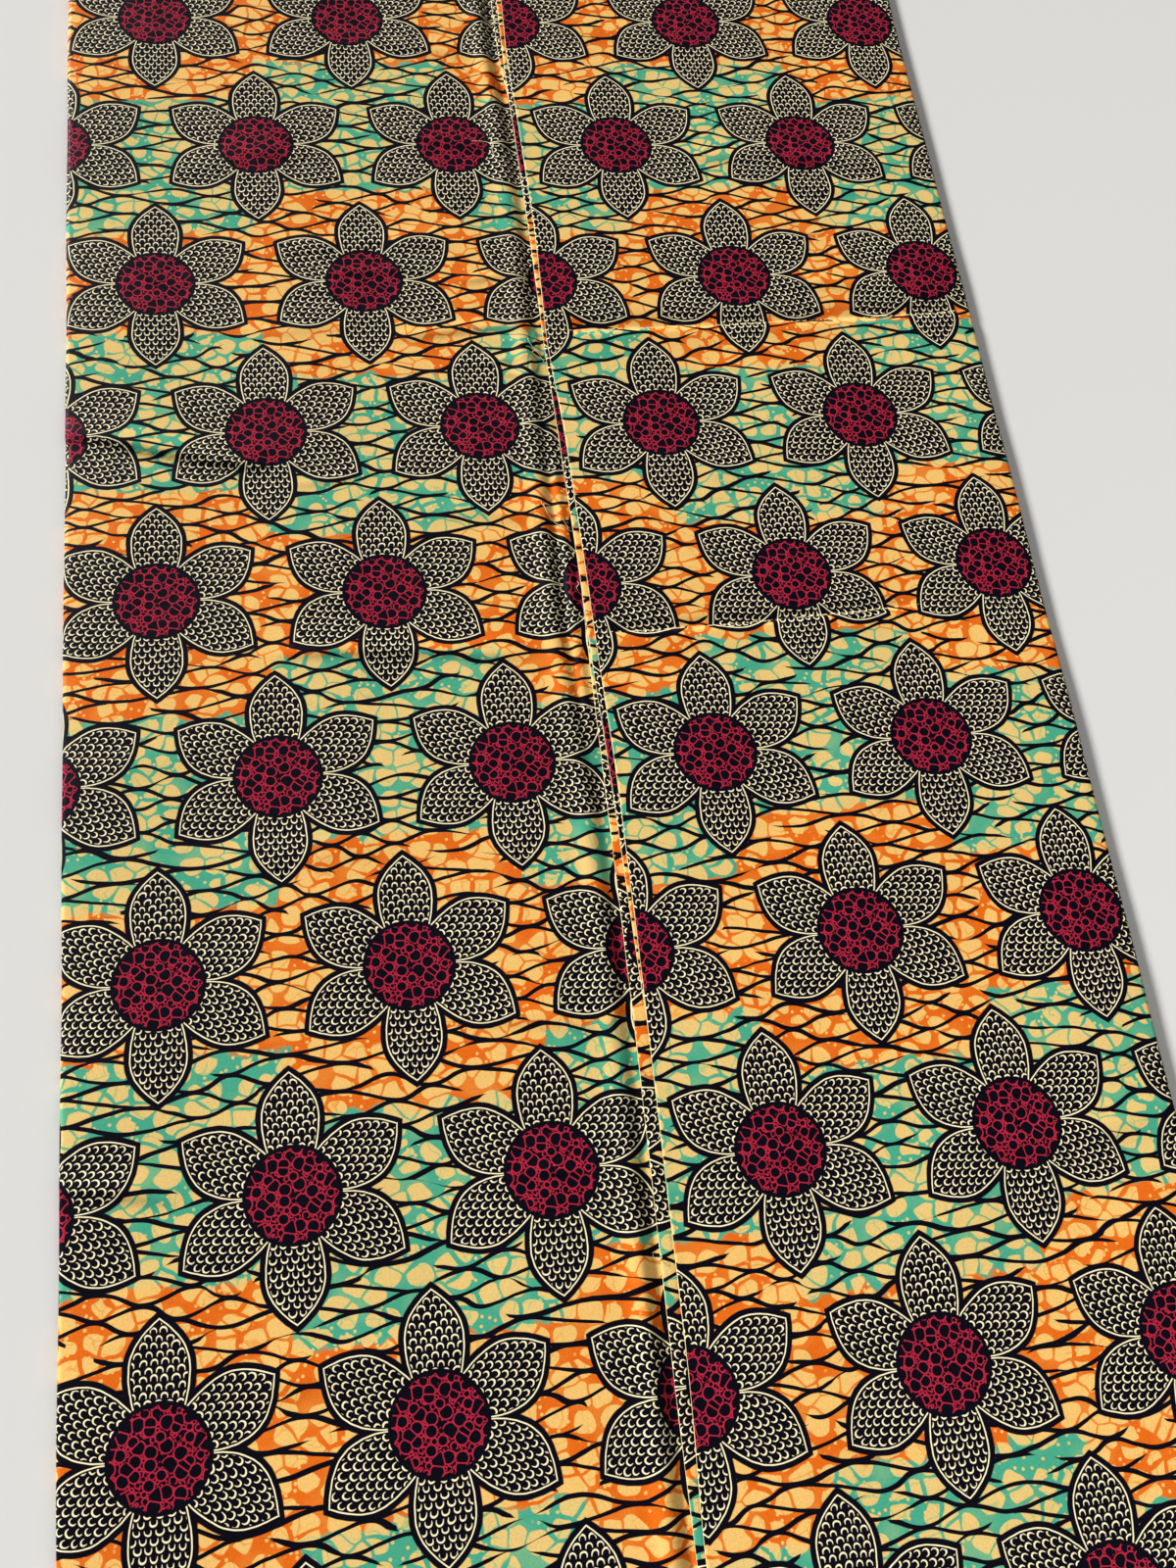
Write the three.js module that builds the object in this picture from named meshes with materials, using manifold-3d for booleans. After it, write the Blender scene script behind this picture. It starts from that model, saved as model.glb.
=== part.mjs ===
// Wax print cotton, folded and laid flat.
//
// A six-yard length is folded in three along its length, and then both its selvedges are brought to the
// middle, so that two halves of the top layer meet along a lengthwise join. The right half lies over the
// left one there, and the selvedges of the second and third layers stick out from under it as two narrow
// bands. The long sides are soft folds that roll down to the surface. The layers that stay hidden are one
// solid, stepped at its ends where their edges lie one behind another.
//
// Millimetres. X runs across the cloth, Y along it, Z up. The origin is the middle of the footprint, on
// the surface that the cloth lies on.

import * as THREE from "three";
import { mergeVertices } from "three/addons/utils/BufferGeometryUtils.js";
import Module from "manifold-3d";

// ---- Driving dimensions -------------------------------------------------------------------------------

const CUT_WIDTH = 1170; // selvedge to selvedge
const CUT_LENGTH = 5490; // six yards
const LENGTHWISE_LAYERS = 3; // the length is folded in three

const LAID_WIDTH = CUT_WIDTH / 2;
const LAID_LENGTH = CUT_LENGTH / LENGTHWISE_LAYERS;

const WALL = 1; // a layer of the cloth, with the air in its folds
const GAP = 0.3; // between pieces that touch
const STEP_HEIGHT = 1.4; // one step of hidden layers, two thicknesses of cloth and the air between them
const STEPS = 3;
const STEP_OVERLAP = 0.1; // each step is sunk this far into the one below

const HIDDEN_HEIGHT = STEPS * STEP_HEIGHT + STEP_OVERLAP;
const TOP = HIDDEN_HEIGHT + GAP + WALL; // upper face of the top layer
const FOLD_RADIUS = TOP / 2; // outer radius of the folds along both long sides
const FOLD_CENTRE = LAID_WIDTH / 2 - FOLD_RADIUS; // distance of a fold's axis from the middle
const LIP = 3; // what turns in under the fold and lies on the surface

// ---- The join along the middle ------------------------------------------------------------------------
// x of the selvedges of the top, second and third layers of the right half, at places y along the cloth.

const SELVEDGES = [
  { y: 915, top: 5.2, second: 1.4, third: -2.2 },
  { y: 507, top: 4.6, second: 1.0, third: -2.8 },
  { y: 429, top: 2.4, second: 0.1, third: -2.8 },
  { y: 390, top: 4.1, second: 0.7, third: 1.5 },
  { y: 286, top: 6.2, second: 2.3, third: 3.3 },
  { y: 188, top: 4.3, second: 2.5, third: 3.1 },
  { y: 130, top: 7.8, second: 3.8, third: 4.4 },
  { y: 26, top: 9.6, second: 5.7, third: 6.2 },
  { y: -26, top: 9.9, second: 6.0, third: 4.9 },
  { y: -104, top: 11.4, second: 7.9, third: 4.2 },
  { y: -208, top: 10.6, second: 9.0, third: 3.4 },
  { y: -260, top: 9.6, second: 10.2, third: 2.8 },
  { y: -429, top: 6.7, second: 7.3, third: -0.6 },
  { y: -500, top: 3.0, second: 4.0, third: -1.0 },
  { y: -915, top: 4.1, second: 5.2, third: -0.8 },
];
const LEAST_BAND = 1.5; // least width of a band that shows, where the layer's edge nearly meets the next
const BAND_TUCK = 10; // how far the second layer runs on under the top one

// The bands lie in a shallow channel, left free by the hidden layers, which end on both sides of it.
const CHANNEL = { left: -24, right: 26, floor: HIDDEN_HEIGHT - WALL - GAP };
const BAND_TOP = CHANNEL.floor + GAP + WALL;

// ---- Folds and creases of the top layer ---------------------------------------------------------------
// Each is a soft ridge from one place to another: its height and half width, with both ends faded out.

const CREASES = [
  { half: "right", x0: 10, y0: 201, x1: 291, y1: 204, height: 2.2, width: 9 },
  { half: "right", x0: 8, y0: -14, x1: 189, y1: -10, height: 1.7, width: 8 },
  { half: "right", x0: 113, y0: 341, x1: 273, y1: 327, height: 1.3, width: 12 },
  { half: "left", x0: -291, y0: 141, x1: -149, y1: 114, height: 2.4, width: 9 },
  { half: "left", x0: -176, y0: -18, x1: -31, y1: -30, height: 1.3, width: 10 },
  { half: "left", x0: -292, y0: -303, x1: -239, y1: -315, height: 1.8, width: 9 },
  { half: "right", x0: 67, y0: 639, x1: 291, y1: 652, height: 1.6, width: 11 },
  { half: "right", x0: 13, y0: -560, x1: 223, y1: -551, height: 1.5, width: 11 },
  { half: "left", x0: -258, y0: -637, x1: -48, y1: -622, height: 1.6, width: 12 },
  { half: "left", x0: -286, y0: 593, x1: -114, y1: 605, height: 1.7, width: 10 },
];
const CREASE_FADE = 30; // length over which each end of a crease dies away

// The left half ripples beside the join, in a ridge whose height changes along the cloth.
const RIPPLE = [
  { y: 915, height: 1.4 },
  { y: 500, height: 2.6 },
  { y: 420, height: 2.3 },
  { y: 300, height: 0.9 },
  { y: 190, height: 2.0 },
  { y: 90, height: 1.2 },
  { y: 20, height: 2.4 },
  { y: -80, height: 1.2 },
  { y: -260, height: 0.9 },
  { y: -400, height: 2.1 },
  { y: -560, height: 1.2 },
  { y: -915, height: 1.0 },
];
const RIPPLE_DISTANCE = 14; // from the edge of the left half to the ridge
const RIPPLE_WIDTH = 6;
const DIP = { from: 2, to: 12 }; // the left half comes down to the bands between these distances

const SWELL = 0.8; // broad unevenness of the top layer
const SWELL_LENGTHS = { x: 210, y: 330 };

// ---- Ends ---------------------------------------------------------------------------------------------
// y of the far and near ends of each layer. The layers don't lie quite level with each other.

const ENDS = {
  left: { far: 911, near: -907 },
  right: { far: 904, near: -912 },
  second: { far: 908, near: -909 },
  third: { far: 905, near: -911 },
};
const STEP_ENDS = [
  { far: LAID_LENGTH / 2, near: -LAID_LENGTH / 2 },
  { far: 909, near: -912 },
  { far: 913, near: -905 },
];

// Stations across the two halves: distance from the selvedge, closer together at the ripple.
const LEFT_STATIONS = [0, 4, 8, 11, 14, 17, 21, 28, 45, 80, 125, 170, 215, 255];
const RIGHT_STATIONS = [0, 8, 25, 60, 100, 145, 190, 235, 262];
const FOLD_SEGMENTS = 6;
const ROW_SPACING = 60;
const LEAST_ROW = 5; // rows are no closer than this
const CREASE_ROWS = [-2, -1, 0, 1, 2]; // rows across each crease, in its half widths

// ---- Helpers ------------------------------------------------------------------------------------------

const smooth = (from, to, value) => THREE.MathUtils.smoothstep(value, from, to);

// Reads a column of a table whose rows run down from the far end to the near end.
function along(table, column, y) {
  const next = table.findIndex((row) => row.y <= y);
  if (next <= 0) return next === 0 ? table[0][column] : table.at(-1)[column];
  const a = table[next - 1];
  const b = table[next];
  return THREE.MathUtils.mapLinear(y, a.y, b.y, a[column], b[column]);
}

// The selvedges with every band at least its least width, and where they lie at a place along the cloth.
const BANDS = SELVEDGES.map((row) => {
  const second = Math.min(row.second, row.top - LEAST_BAND);
  return { y: row.y, top: row.top, second, third: Math.min(row.third, second - LEAST_BAND) };
});

function joinAt(y) {
  return { top: along(BANDS, "top", y), second: along(BANDS, "second", y), third: along(BANDS, "third", y) };
}

function creaseHeight(crease, x, y) {
  const run = new THREE.Vector2(crease.x1 - crease.x0, crease.y1 - crease.y0);
  const length = run.length();
  run.divideScalar(length);
  const from = new THREE.Vector2(x - crease.x0, y - crease.y0);
  const reach = from.dot(run);
  const offset = from.cross(run);
  const ends = smooth(-CREASE_FADE, CREASE_FADE, reach) * smooth(-CREASE_FADE, CREASE_FADE, length - reach);
  return crease.height * ends * Math.exp(-((offset / crease.width) ** 2));
}

// Height of the top layer above its flat level, never below it.
function relief(half, x, y) {
  const waves =
    Math.sin((2 * Math.PI * y) / SWELL_LENGTHS.y + x / 90) * Math.sin((2 * Math.PI * x) / SWELL_LENGTHS.x);
  const swell = SWELL * waves ** 2;
  const creases = CREASES.filter((crease) => crease.half === half);
  return creases.reduce((sum, crease) => sum + creaseHeight(crease, x, y), swell);
}

// Rows along a half: at its ends and at the places in the table of selvedges, closer across each of its
// creases, and evenly spaced between.
function rowsOf(half, ends) {
  const rows = [ends.near, ends.far];
  const add = (y, clear) => {
    const within = y > ends.near + clear && y < ends.far - clear;
    if (within && rows.every((row) => Math.abs(row - y) >= clear)) rows.push(y);
  };
  SELVEDGES.forEach((row) => add(row.y, 1));
  for (const crease of CREASES.filter((item) => item.half === half)) {
    for (const step of CREASE_ROWS) add((crease.y0 + crease.y1) / 2 + step * crease.width, LEAST_ROW);
  }
  for (let y = ends.near; y < ends.far; y += ROW_SPACING) add(y, 0.6 * ROW_SPACING);
  return rows.sort((a, b) => a - b);
}

// A wall from rows of outer and inner points. Each row is a closed ring, and the first and last are capped.
function wallGeometry(rows) {
  const stations = rows[0].outer.length;
  const ring = 2 * stations;
  const positions = rows.flatMap((row) => [...row.outer, ...[...row.inner].reverse()]).flatMap((p) => p.toArray());
  const faces = [];
  for (let r = 0; r + 1 < rows.length; r++) {
    for (let i = 0; i < ring; i++) {
      const a = r * ring + i;
      const b = r * ring + ((i + 1) % ring);
      faces.push(a, b, b + ring, a, b + ring, a + ring);
    }
  }
  const last = (rows.length - 1) * ring;
  for (let i = 0; i + 1 < stations; i++) {
    const a = i;
    const b = i + 1;
    const c = ring - 2 - i;
    const d = ring - 1 - i;
    faces.push(a, d, c, a, c, b);
    faces.push(last + a, last + b, last + c, last + a, last + c, last + d);
  }
  const geometry = new THREE.BufferGeometry();
  geometry.setAttribute("position", new THREE.Float32BufferAttribute(positions, 3));
  geometry.setIndex(faces);
  geometry.computeVertexNormals();
  return geometry;
}

const point = (x, y, z) => new THREE.Vector3(x, y, z);

// ---- The two halves of the top layer ------------------------------------------------------------------

// One row of a half: from the selvedge across to the fold, round it, and in under it as a lip.
// side is -1 for the left half and 1 for the right one.
function halfRow(half, side, y, stations, edge) {
  const outer = [];
  const inner = [];
  const spread = (FOLD_CENTRE - side * edge) / FOLD_CENTRE;
  for (const distance of stations) {
    const x = edge + side * distance * spread;
    const lift = relief(half, x, y) + (half === "left" ? rippleAt(distance, y) : 0);
    outer.push(point(x, y, TOP + lift));
    inner.push(point(x, y, TOP + lift - WALL));
  }
  const foldLift = relief(half, side * FOLD_CENTRE, y);
  for (let i = 0; i <= FOLD_SEGMENTS; i++) {
    const angle = Math.PI / 2 - (Math.PI * i) / FOLD_SEGMENTS;
    const lift = foldLift * (1 - i / FOLD_SEGMENTS);
    const place = (radius) =>
      point(
        side * (FOLD_CENTRE + radius * Math.cos(angle)),
        y,
        FOLD_RADIUS + radius * Math.sin(angle) + lift,
      );
    outer.push(place(FOLD_RADIUS));
    inner.push(place(FOLD_RADIUS - WALL));
  }
  outer.push(point(side * (FOLD_CENTRE - LIP), y, 0));
  inner.push(point(side * (FOLD_CENTRE - LIP), y, WALL));
  // Seen from the near end the ring has to run clockwise, so that the faces point out.
  return side > 0 ? { outer, inner } : { outer: [...outer].reverse(), inner: [...inner].reverse() };
}

// The ripple of the left half, and its dip down to the level of the bands.
function rippleAt(distance, y) {
  const drop = TOP - BAND_TOP;
  const ridge = Math.exp(-(((distance - RIPPLE_DISTANCE) / RIPPLE_WIDTH) ** 2));
  return along(RIPPLE, "height", y) * ridge * smooth(0, DIP.to, distance) - drop * (1 - smooth(DIP.from, DIP.to, distance));
}

function halfGeometry(half, side, stations, edgeAt) {
  const ends = ENDS[half];
  return wallGeometry(rowsOf(half, ends).map((y) => halfRow(half, side, y, stations, edgeAt(y))));
}

// ---- The two bands at the join ------------------------------------------------------------------------

function bandGeometry(name, leftAt, rightAt) {
  const ends = ENDS[name];
  const places = SELVEDGES.map((row) => THREE.MathUtils.clamp(row.y, ends.near, ends.far)).reverse();
  const rows = places.map((y) => ({
    outer: [point(leftAt(y), y, BAND_TOP), point(rightAt(y), y, BAND_TOP)],
    inner: [point(leftAt(y), y, BAND_TOP - WALL), point(rightAt(y), y, BAND_TOP - WALL)],
  }));
  return wallGeometry(rows);
}

// ---- The hidden layers --------------------------------------------------------------------------------

const wasm = await Module();
wasm.setup();

function toSolid(geometry) {
  const bare = geometry.clone();
  bare.deleteAttribute("normal");
  bare.deleteAttribute("uv");
  const merged = mergeVertices(bare, 1e-4);
  return new wasm.Manifold(
    new wasm.Mesh({
      numProp: 3,
      vertProperties: new Float32Array(merged.attributes.position.array),
      triVerts: new Uint32Array(merged.index.array),
    }),
  );
}

function toGeometry(solid) {
  const mesh = solid.getMesh();
  const geometry = new THREE.BufferGeometry();
  geometry.setAttribute("position", new THREE.Float32BufferAttribute(mesh.vertProperties, 3));
  geometry.setIndex([...mesh.triVerts]);
  geometry.computeVertexNormals();
  return geometry;
}

// One step: a flat slab with rounded corners and edges.
function stepGeometry(halfWidth, ends, bottom, height) {
  const corner = 4;
  const rounding = 0.4;
  const outline = new THREE.Shape();
  outline.moveTo(-halfWidth + corner, ends.near);
  outline.lineTo(halfWidth - corner, ends.near);
  outline.absarc(halfWidth - corner, ends.near + corner, corner, -Math.PI / 2, 0);
  outline.lineTo(halfWidth, ends.far - corner);
  outline.absarc(halfWidth - corner, ends.far - corner, corner, 0, Math.PI / 2);
  outline.lineTo(-halfWidth + corner, ends.far);
  outline.absarc(-halfWidth + corner, ends.far - corner, corner, Math.PI / 2, Math.PI);
  outline.lineTo(-halfWidth, ends.near + corner);
  outline.absarc(-halfWidth + corner, ends.near + corner, corner, Math.PI, 1.5 * Math.PI);
  const geometry = new THREE.ExtrudeGeometry(outline, {
    depth: height - 2 * rounding,
    bevelThickness: rounding,
    bevelSize: rounding,
    bevelOffset: -rounding,
    bevelSegments: 2,
    curveSegments: 4,
  });
  return geometry.translate(0, 0, bottom + rounding);
}

function hiddenLayersGeometry() {
  const lowWidth = FOLD_CENTRE - LIP - GAP; // the lowest step lies between the lips
  const innerWidth = FOLD_CENTRE + 0.2; // the others reach into the folds
  let solid = null;
  STEP_ENDS.forEach((ends, i) => {
    const width = i === 0 ? lowWidth : innerWidth;
    const height = STEP_HEIGHT + STEP_OVERLAP;
    const step = toSolid(stepGeometry(width, ends, i * STEP_HEIGHT, height));
    solid = solid ? solid.add(step) : step;
  });
  const channelWidth = CHANNEL.right - CHANNEL.left;
  const channel = new THREE.BoxGeometry(channelWidth, LAID_LENGTH + 20, 2 * (HIDDEN_HEIGHT - CHANNEL.floor));
  channel.translate(CHANNEL.left + channelWidth / 2, 0, HIDDEN_HEIGHT);
  return toGeometry(solid.subtract(toSolid(channel)));
}

// ---- Cloth --------------------------------------------------------------------------------------------

function waxCotton(color) {
  return new THREE.MeshStandardMaterial({ color, roughness: 0.72, metalness: 0 });
}

const cloth = new THREE.Group();

function addPiece(name, geometry, color) {
  const piece = new THREE.Mesh(geometry, waxCotton(color));
  piece.name = name;
  cloth.add(piece);
}

addPiece("hidden_layers", hiddenLayersGeometry(), "#8a6a4a");
addPiece("front_left_half", halfGeometry("left", -1, LEFT_STATIONS, (y) => joinAt(y).third - GAP), "#b08a4c");
addPiece("front_right_half", halfGeometry("right", 1, RIGHT_STATIONS, (y) => joinAt(y).top), "#c29450");
addPiece(
  "second_layer_selvedge",
  bandGeometry("second", (y) => joinAt(y).second, (y) => joinAt(y).top + BAND_TUCK),
  "#8f2a3a",
);
addPiece(
  "third_layer_selvedge",
  bandGeometry("third", (y) => joinAt(y).third, (y) => joinAt(y).second - GAP),
  "#3d8f72",
);

export default cloth;
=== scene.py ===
"""Wax print cotton, folded in three along its length and then with both selvedges brought to the middle.

The frame gives the solids of the folded cloth. Every layer of cloth is made here as a thin sheet on the form
of its solid, with the print on the cloth's own UV map, so that it follows each fold.
"""
import math

import bpy
import numpy as np
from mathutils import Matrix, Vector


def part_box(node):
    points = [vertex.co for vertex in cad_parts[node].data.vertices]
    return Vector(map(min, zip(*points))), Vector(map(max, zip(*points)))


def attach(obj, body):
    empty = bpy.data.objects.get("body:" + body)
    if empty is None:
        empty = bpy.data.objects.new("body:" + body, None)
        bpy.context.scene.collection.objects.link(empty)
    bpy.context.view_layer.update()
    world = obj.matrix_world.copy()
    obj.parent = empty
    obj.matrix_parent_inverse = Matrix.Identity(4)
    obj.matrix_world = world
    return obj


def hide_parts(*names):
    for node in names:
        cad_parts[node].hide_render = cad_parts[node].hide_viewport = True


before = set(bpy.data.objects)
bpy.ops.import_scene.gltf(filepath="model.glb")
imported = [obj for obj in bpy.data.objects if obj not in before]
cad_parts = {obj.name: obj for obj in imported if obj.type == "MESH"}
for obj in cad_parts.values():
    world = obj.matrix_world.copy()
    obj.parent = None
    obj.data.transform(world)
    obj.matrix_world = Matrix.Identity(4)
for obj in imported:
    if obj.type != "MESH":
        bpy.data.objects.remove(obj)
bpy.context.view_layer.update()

# ---- Sizes, in metres, in the frame of the solids: X across, Y along the cloth, Z up ----

MM = 0.001
LEFT_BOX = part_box("front_left_half")
RIGHT_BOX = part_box("front_right_half")
HIDDEN_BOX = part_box("hidden_layers")

HALF_WIDTH = RIGHT_BOX[1][0]
CLOTH = 0.35 * MM  # thickness of the cotton
TOP = 5.6 * MM  # upper face of the top layer where it lies flat
FOLD_RADIUS = TOP / 2  # outer radius of the soft folds along both sides
FOLD_CENTRE = HALF_WIDTH - FOLD_RADIUS
SECOND_RADIUS = 1.95 * MM  # of the second and third layers, which lie inside the top one
THIRD_RADIUS = 1.1 * MM
INNER_END = -26 * MM  # where the inner layers end under the left half
LIP = 3 * MM  # what turns in under a fold
END_ROLL = 0.6 * MM  # outer radius of the folds across the cloth, at the ends
REPEAT = 130 * MM  # from one flower to the next across the cloth

# ---- The join in the middle ----
# x of the selvedges of the top, second and third layers of the right half, in millimetres, at places y
# along the cloth. Where a selvedge lies further right than the next one, it is hidden under it.

SELVEDGES = np.array(
    [
        # y, top, second, third
        (-915, 4.1, 5.2, -0.8),
        (-500, 3.0, 4.0, -1.0),
        (-429, 6.7, 7.3, -0.6),
        (-260, 9.6, 10.2, 2.8),
        (-208, 10.6, 9.0, 3.4),
        (-104, 11.4, 7.9, 4.2),
        (-26, 9.9, 6.0, 4.9),
        (26, 9.6, 5.7, 6.2),
        (130, 7.8, 3.8, 4.4),
        (188, 4.3, 2.5, 3.1),
        (286, 6.2, 2.3, 3.3),
        (390, 4.1, 0.7, 1.5),
        (429, 2.4, 0.1, -2.8),
        (507, 4.6, 1.0, -2.8),
        (915, 5.2, 1.4, -2.2),
    ]
)
SELVEDGE_COLUMN = {"top": 1, "second": 2, "third": 3}
SELVEDGE_EASE = 14 * MM  # length over which a selvedge turns from one direction to the next


def selvedge(layer, y):
    """x of a layer's selvedge at the places y: the table read in straight lines, eased by the mean of
    three readings side by side."""
    column = SELVEDGES[:, SELVEDGE_COLUMN[layer]] * MM
    shifts = (-SELVEDGE_EASE, 0.0, SELVEDGE_EASE)
    return sum(np.interp(y + shift, SELVEDGES[:, 0] * MM, column) for shift in shifts) / len(shifts)


# ---- Creases ----
# Soft ridges of the top layer, in millimetres: from (x0, y0) to (x1, y1), bowed sideways at the middle,
# with a height, and a half width on the far side and on the near side of the crest. A minus height is a
# trough.

CREASES = {
    "left": [
        # x0, y0, x1, y1, bow, height, far, near
        (-291, 138, -170, 105, -2.4, 2.7, 12, 1.8),
        (-291, 132, -225, 112, -2, -0.5, 2.5, 8),
        (-176, -18, -31, -30, 3, 1.5, 9, 3.2),
        (-291, -303, -239, -315, 1, 2.0, 8, 2.8),
        (-258, -637, -48, -622, 4, 1.5, 11, 7),
        (-286, 593, -114, 605, 3, 1.6, 10, 6),
        (-115, 453, -18, 436, -3, 1.1, 8, 3.4),
        (-106, 366, -11, 350, 2, 1.1, 7, 3.4),
        (-67, 319, -6, 300, 2, 0.9, 6, 3.4),
        (-94, 197, -8, 204, 3, 1.3, 6, 3),
        (-59, 177, -7, 182, -2, 1.1, 5, 2.5),
        (-36, 170, -8, 163, 2, 1.0, 3.5, 2.2),
        (-30, 156, -8, 149, 1, 0.8, 3.5, 2.2),
        (-80, 71, -6, 60, 2, 0.9, 7, 3.8),
        (-227, 333, -137, 347, 5, 0.8, 9, 5.5),
        (-212, -148, -112, -139, 3, 0.7, 10, 6),
        (-103, -237, -6, -250, 3, 0.9, 8, 3.8),
        (-205, -408, -85, -401, 4, 0.7, 9, 6),
        (-180, 250, -95, 236, -3, 0.5, 9, 6),
        (-285, -90, -200, -76, 4, 0.6, 10, 7),
        (-205, 353, -140, 346, 1, 0.9, 5, 2.8),
        (-170, 268, -50, 272, 3, 0.8, 8, 4),
        (-140, 250, -75, 249, 1, 1.0, 4, 2.4),
        (-55, 240, -6, 245, 1, 1.0, 4, 2.4),
        (-185, 203, -95, 211, 2, 0.7, 9, 5),
        (-45, 131, -6, 127, 1, 0.9, 3.5, 2.4),
        (-160, 94, -118, 96, 1, 0.9, 4, 2.6),
        (-66.4, -318.9, -27.1, -323.7, 0.6, 0.9, 4, 2.3),
        (-264.5, -423.3, -222.3, -427.3, 0.6, 0.7, 6, 3.6),
        (-8.2, 183, -7.4, 156, 0.6, 1.0, 1.8, 1.9),
        (-2.6, 205, -1.0, 179, -0.8, 1.4, 1.9, 1.5),
        (-31.5, 198, -2, 183, 1.5, 0.9, 3, 1.7),
    ],
    "right": [
        (10, 201.5, 293, 208.5, -1.5, -1.8, 7, 2.2),
        (12, 196, 292, 203, -1.5, 0.7, 3.5, 9),
        (10, -16, 214, -9.5, -1.6, -1.5, 4.5, 1.7),
        (12, -20, 210, -13.5, -1.6, 0.6, 2.5, 8),
        (113, 341, 273, 327, 5, 1.4, 10, 4),
        (153, 323, 253, 309, -3, 0.9, 6, 3.4),
        (162, 234, 287, 219, 3, 1.0, 8, 4),
        (67, 639, 291, 652, 3, 1.5, 10, 7),
        (13, -560, 223, -551, 4, 1.4, 10, 7),
        (40, 96, 150, 82, 4, 0.6, 9, 7),
        (118, -131, 278, -121, 4, 0.6, 10, 8),
        (17, -226, 107, -233, 3, 0.6, 8, 5),
        (145, -332, 284, -325, -4, 0.7, 10, 7),
        (35, 460, 145, 446, 3, 0.6, 8, 6),
        (180, 120, 285, 108, 3, 0.5, 9, 7),
        (30, -420, 150, -410, -3, 0.5, 9, 7),
        (50.4, -312.5, 100.4, -314.7, 0.8, 0.9, 4, 2.4),
        (53.5, -325.9, 89.9, -328.3, 0.8, 0.8, 4, 2.6),
    ],
}
CREASE_FADE = 26  # mm over which each end of a crease dies away
CREASE_LEAD = 0.3  # share of that by which it starts before the end
SHARP_WIDTH = 3.3  # mm: a crease with a narrower side is sharp

# The left half ripples beside the join: a ridge and a trough along it, whose size and place change.
RIPPLE = np.array(
    [
        # y, ridge height, ridge distance, trough depth, trough distance, all in mm
        (-915, 1.2, 14, 0.6, 5.0),
        (-560, 1.5, 13, 1.0, 4.5),
        (-470, 1.9, 12, 1.4, 4.2),
        (-400, 2.3, 11, 1.7, 4.5),
        (-340, 2.1, 12, 1.6, 4.6),
        (-260, 1.2, 13, 1.2, 4.8),
        (-182, 1.3, 13, 1.3, 4.6),
        (-117, 1.6, 13, 1.4, 5.2),
        (-52, 1.6, 17, 1.5, 9.0),
        (0, 2.1, 20, 1.9, 12.0),
        (60, 2.1, 19, 1.9, 11.0),
        (100, 1.8, 18, 1.6, 9.4),
        (156, 1.6, 15, 1.3, 6.5),
        (190, 2.2, 14, 1.6, 5.6),
        (225, 1.7, 14, 1.4, 5.0),
        (290, 1.2, 13, 1.3, 4.6),
        (377, 2.0, 13, 1.6, 5.0),
        (420, 2.2, 12, 1.7, 4.4),
        (490, 2.2, 12, 1.7, 4.0),
        (915, 1.6, 13, 0.8, 5.0),
    ]
)
RIDGE_WIDTH = 5.5 * MM
TROUGH_WIDTH = 3.2 * MM
EDGE_LEVEL = 3.3 * MM  # upper face of the left half where it runs in under the bands
DIP = (0.4 * MM, 7 * MM)  # where it reaches that level and where it leaves its own, from its edge
SAG = 1.6 * MM  # how far the inner layers sink away from the top one between the join and the side folds

SWELL = 0.8 * MM  # height of the broad swells
SWELL_LENGTHS = (210 * MM, 330 * MM)  # across and along
SWELL_SLANT = 90 * MM
UNEVEN = 0.16 * MM  # height of the small unevenness
FOLD_WAVE = 0.21 * MM  # a quarter of the most that a side fold draws in
NOTCH = 1.6 * MM  # how far the left side fold draws in besides, where a crease runs out
NOTCH_PLACES = (92 * MM, 126 * MM, 133 * MM)  # along the cloth: its start, its deepest place and its end


def smooth(start, end, value):
    """Smooth step: 0 before start, 1 after end, and 3t^2 - 2t^3 between."""
    t = np.clip((value - start) / (end - start), 0.0, 1.0)
    return t * t * (3 - 2 * t)


def crease(row, x, y):
    """Height of one crease: a bell across it, wider on its far side than on its near side, times a
    smooth step in and out along it. Its line is bowed by a parabola."""
    x0, y0, x1, y1, bow, height, far, near = row
    length = math.hypot(x1 - x0, y1 - y0)
    along_x, along_y = (x1 - x0) / length, (y1 - y0) / length
    from_x, from_y = x / MM - x0, y / MM - y0
    reach = from_x * along_x + from_y * along_y
    share = np.clip(reach / length, 0.0, 1.0)
    offset = from_y * along_x - from_x * along_y - 4 * bow * share * (1 - share)
    fade = min(CREASE_FADE, 0.5 * length)
    lead = -CREASE_LEAD * fade
    ends = smooth(lead, fade, reach) * smooth(lead, fade, length - reach)
    width = np.where(offset > 0, far, near)
    return height * MM * ends * np.exp(-((offset / width) ** 2))


def bent_wave(along, step, across, bend_step, bend):
    """A sine wave, bent by another one. The steps are in metres for each radian."""
    return np.sin(along / step + bend * np.sin(across / bend_step))


def relief(half, x, y):
    """Height of the top layer above its flat level: broad swells, small unevenness and the creases."""
    slanted = np.sin(2 * np.pi * y / SWELL_LENGTHS[1] + x / SWELL_SLANT)
    swells = slanted * np.sin(2 * np.pi * x / SWELL_LENGTHS[0])
    uneven = bent_wave(x, 13 * MM, y, 41 * MM, 3) * bent_wave(y, 19 * MM, x, 30 * MM, 2)
    return SWELL * swells**2 + UNEVEN * uneven + sum(crease(row, x, y) for row in CREASES[half])


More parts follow.
